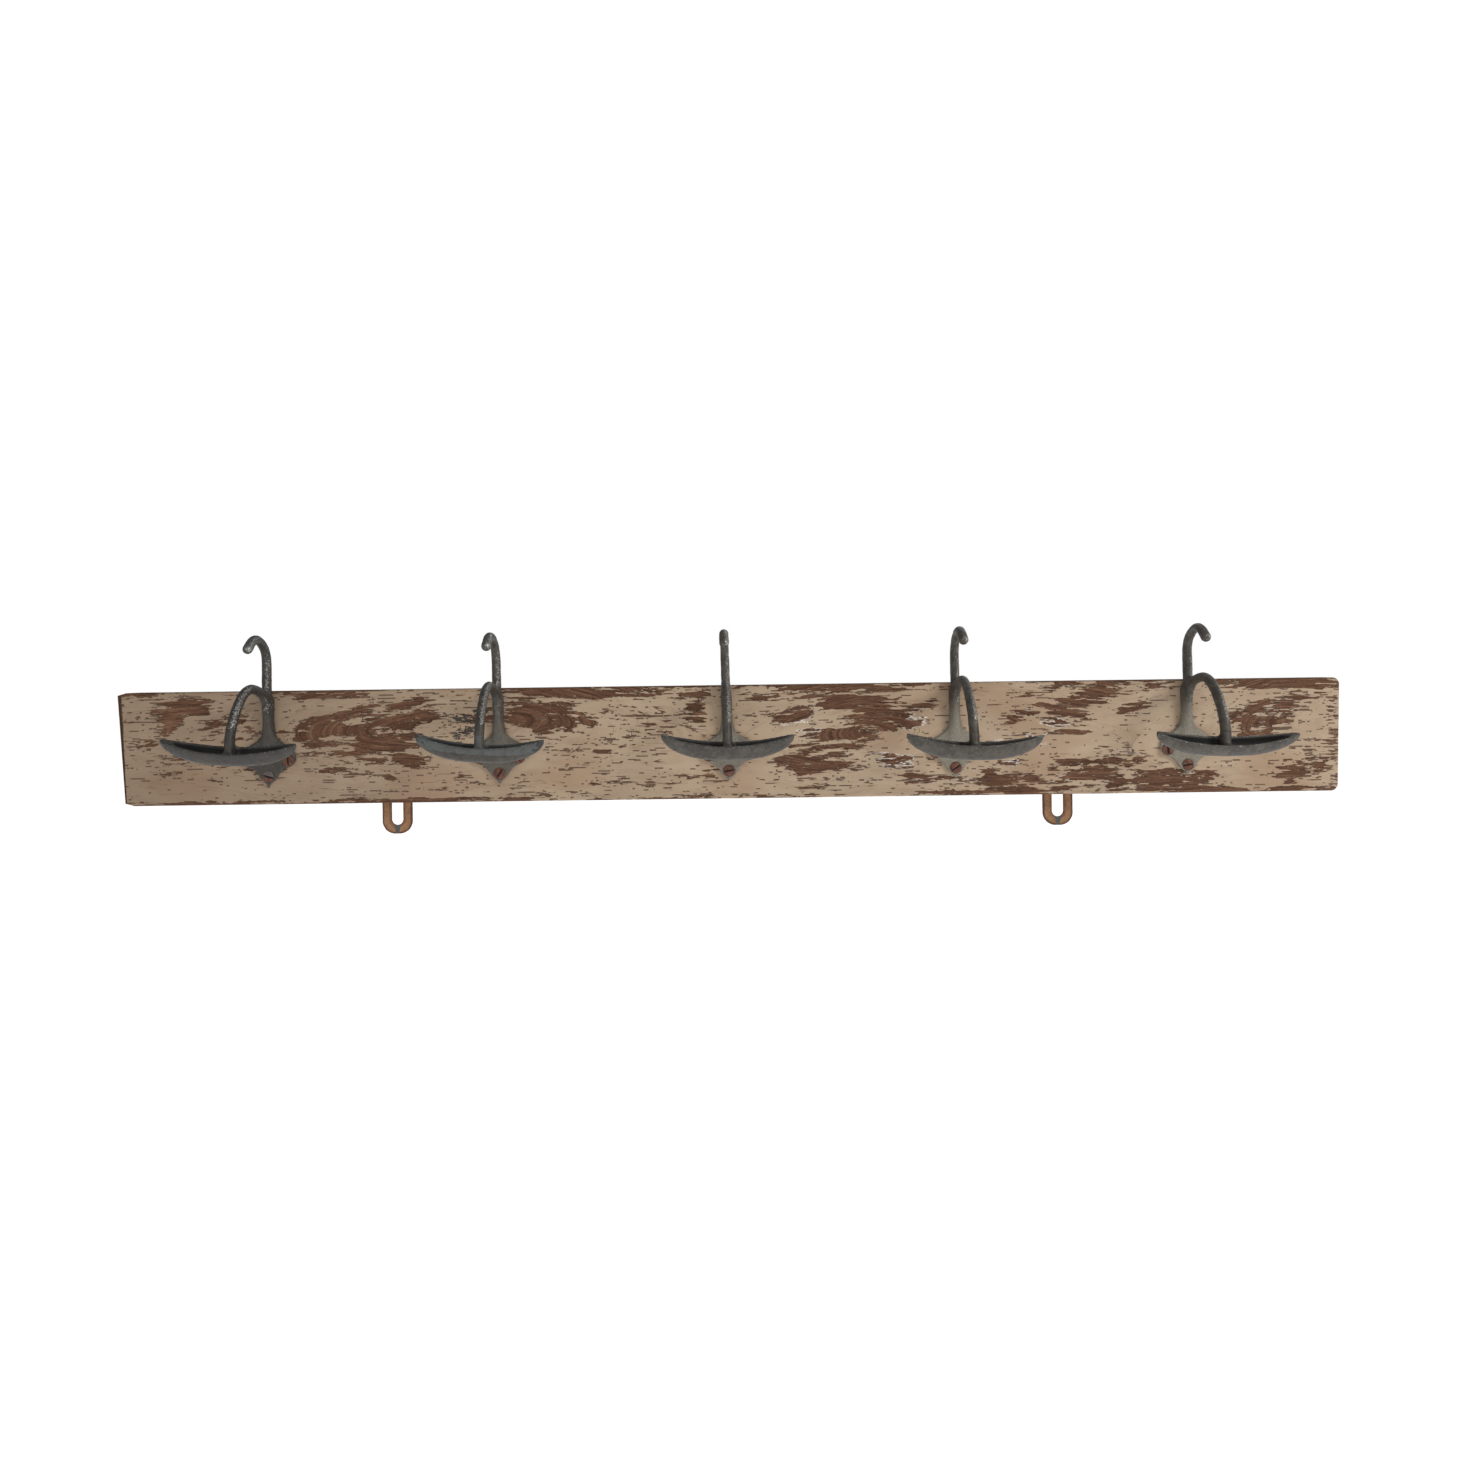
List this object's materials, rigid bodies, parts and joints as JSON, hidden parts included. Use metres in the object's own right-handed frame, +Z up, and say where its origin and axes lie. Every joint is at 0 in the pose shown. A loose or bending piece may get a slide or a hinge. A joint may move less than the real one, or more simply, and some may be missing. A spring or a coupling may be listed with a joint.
{
  "type": "wall hook rack",
  "caption": "Long wooden plank with a row of one-piece cast coat hooks, each an upper crook over a looped arm with a boat-shaped hat rest, and slotted steel hanger plates below.",
  "frame": {"origin": "middle of the plank's back face, midway between its top and bottom edges, in the plane that lies on the wall", "axes": "+X along the plank to the right as the rack is seen from the room, -Y out from the wall into the room, +Z up"},
  "size_m": [1.1015, 0.1092, 0.1826],
  "materials": {
    "flaked_board": "old cream paint flaking off brown open-grained wood, matt",
    "hook_casting": "dull dark grey sand casting, pitted, worn bright on its edges",
    "rusty_screw": "rusted red-brown, dry",
    "rusty_plate": "orange-brown rust over thin sheet steel, dry"
  },
  "bodies": {
    "root": {"board": "flaked_board", "hook_1": "hook_casting", "hook_2": "hook_casting", "hook_3": "hook_casting", "hook_4": "hook_casting", "hook_5": "hook_casting", "hook_1_screw_left": "rusty_screw", "hook_1_screw_right": "rusty_screw", "hook_1_screw_bottom": "rusty_screw", "hook_2_screw_left": "rusty_screw", "hook_2_screw_right": "rusty_screw", "hook_2_screw_bottom": "rusty_screw", "hook_3_screw_left": "rusty_screw", "hook_3_screw_right": "rusty_screw", "hook_3_screw_bottom": "rusty_screw", "hook_4_screw_left": "rusty_screw", "hook_4_screw_right": "rusty_screw", "hook_4_screw_bottom": "rusty_screw", "hook_5_screw_left": "rusty_screw", "hook_5_screw_right": "rusty_screw", "hook_5_screw_bottom": "rusty_screw", "hanger_plate_left": "rusty_plate", "hanger_plate_right": "rusty_plate", "hanger_left_screw_upper": "rusty_screw", "hanger_left_screw_lower": "rusty_screw", "hanger_right_screw_upper": "rusty_screw", "hanger_right_screw_lower": "rusty_screw"}
  },
  "joints": []
}
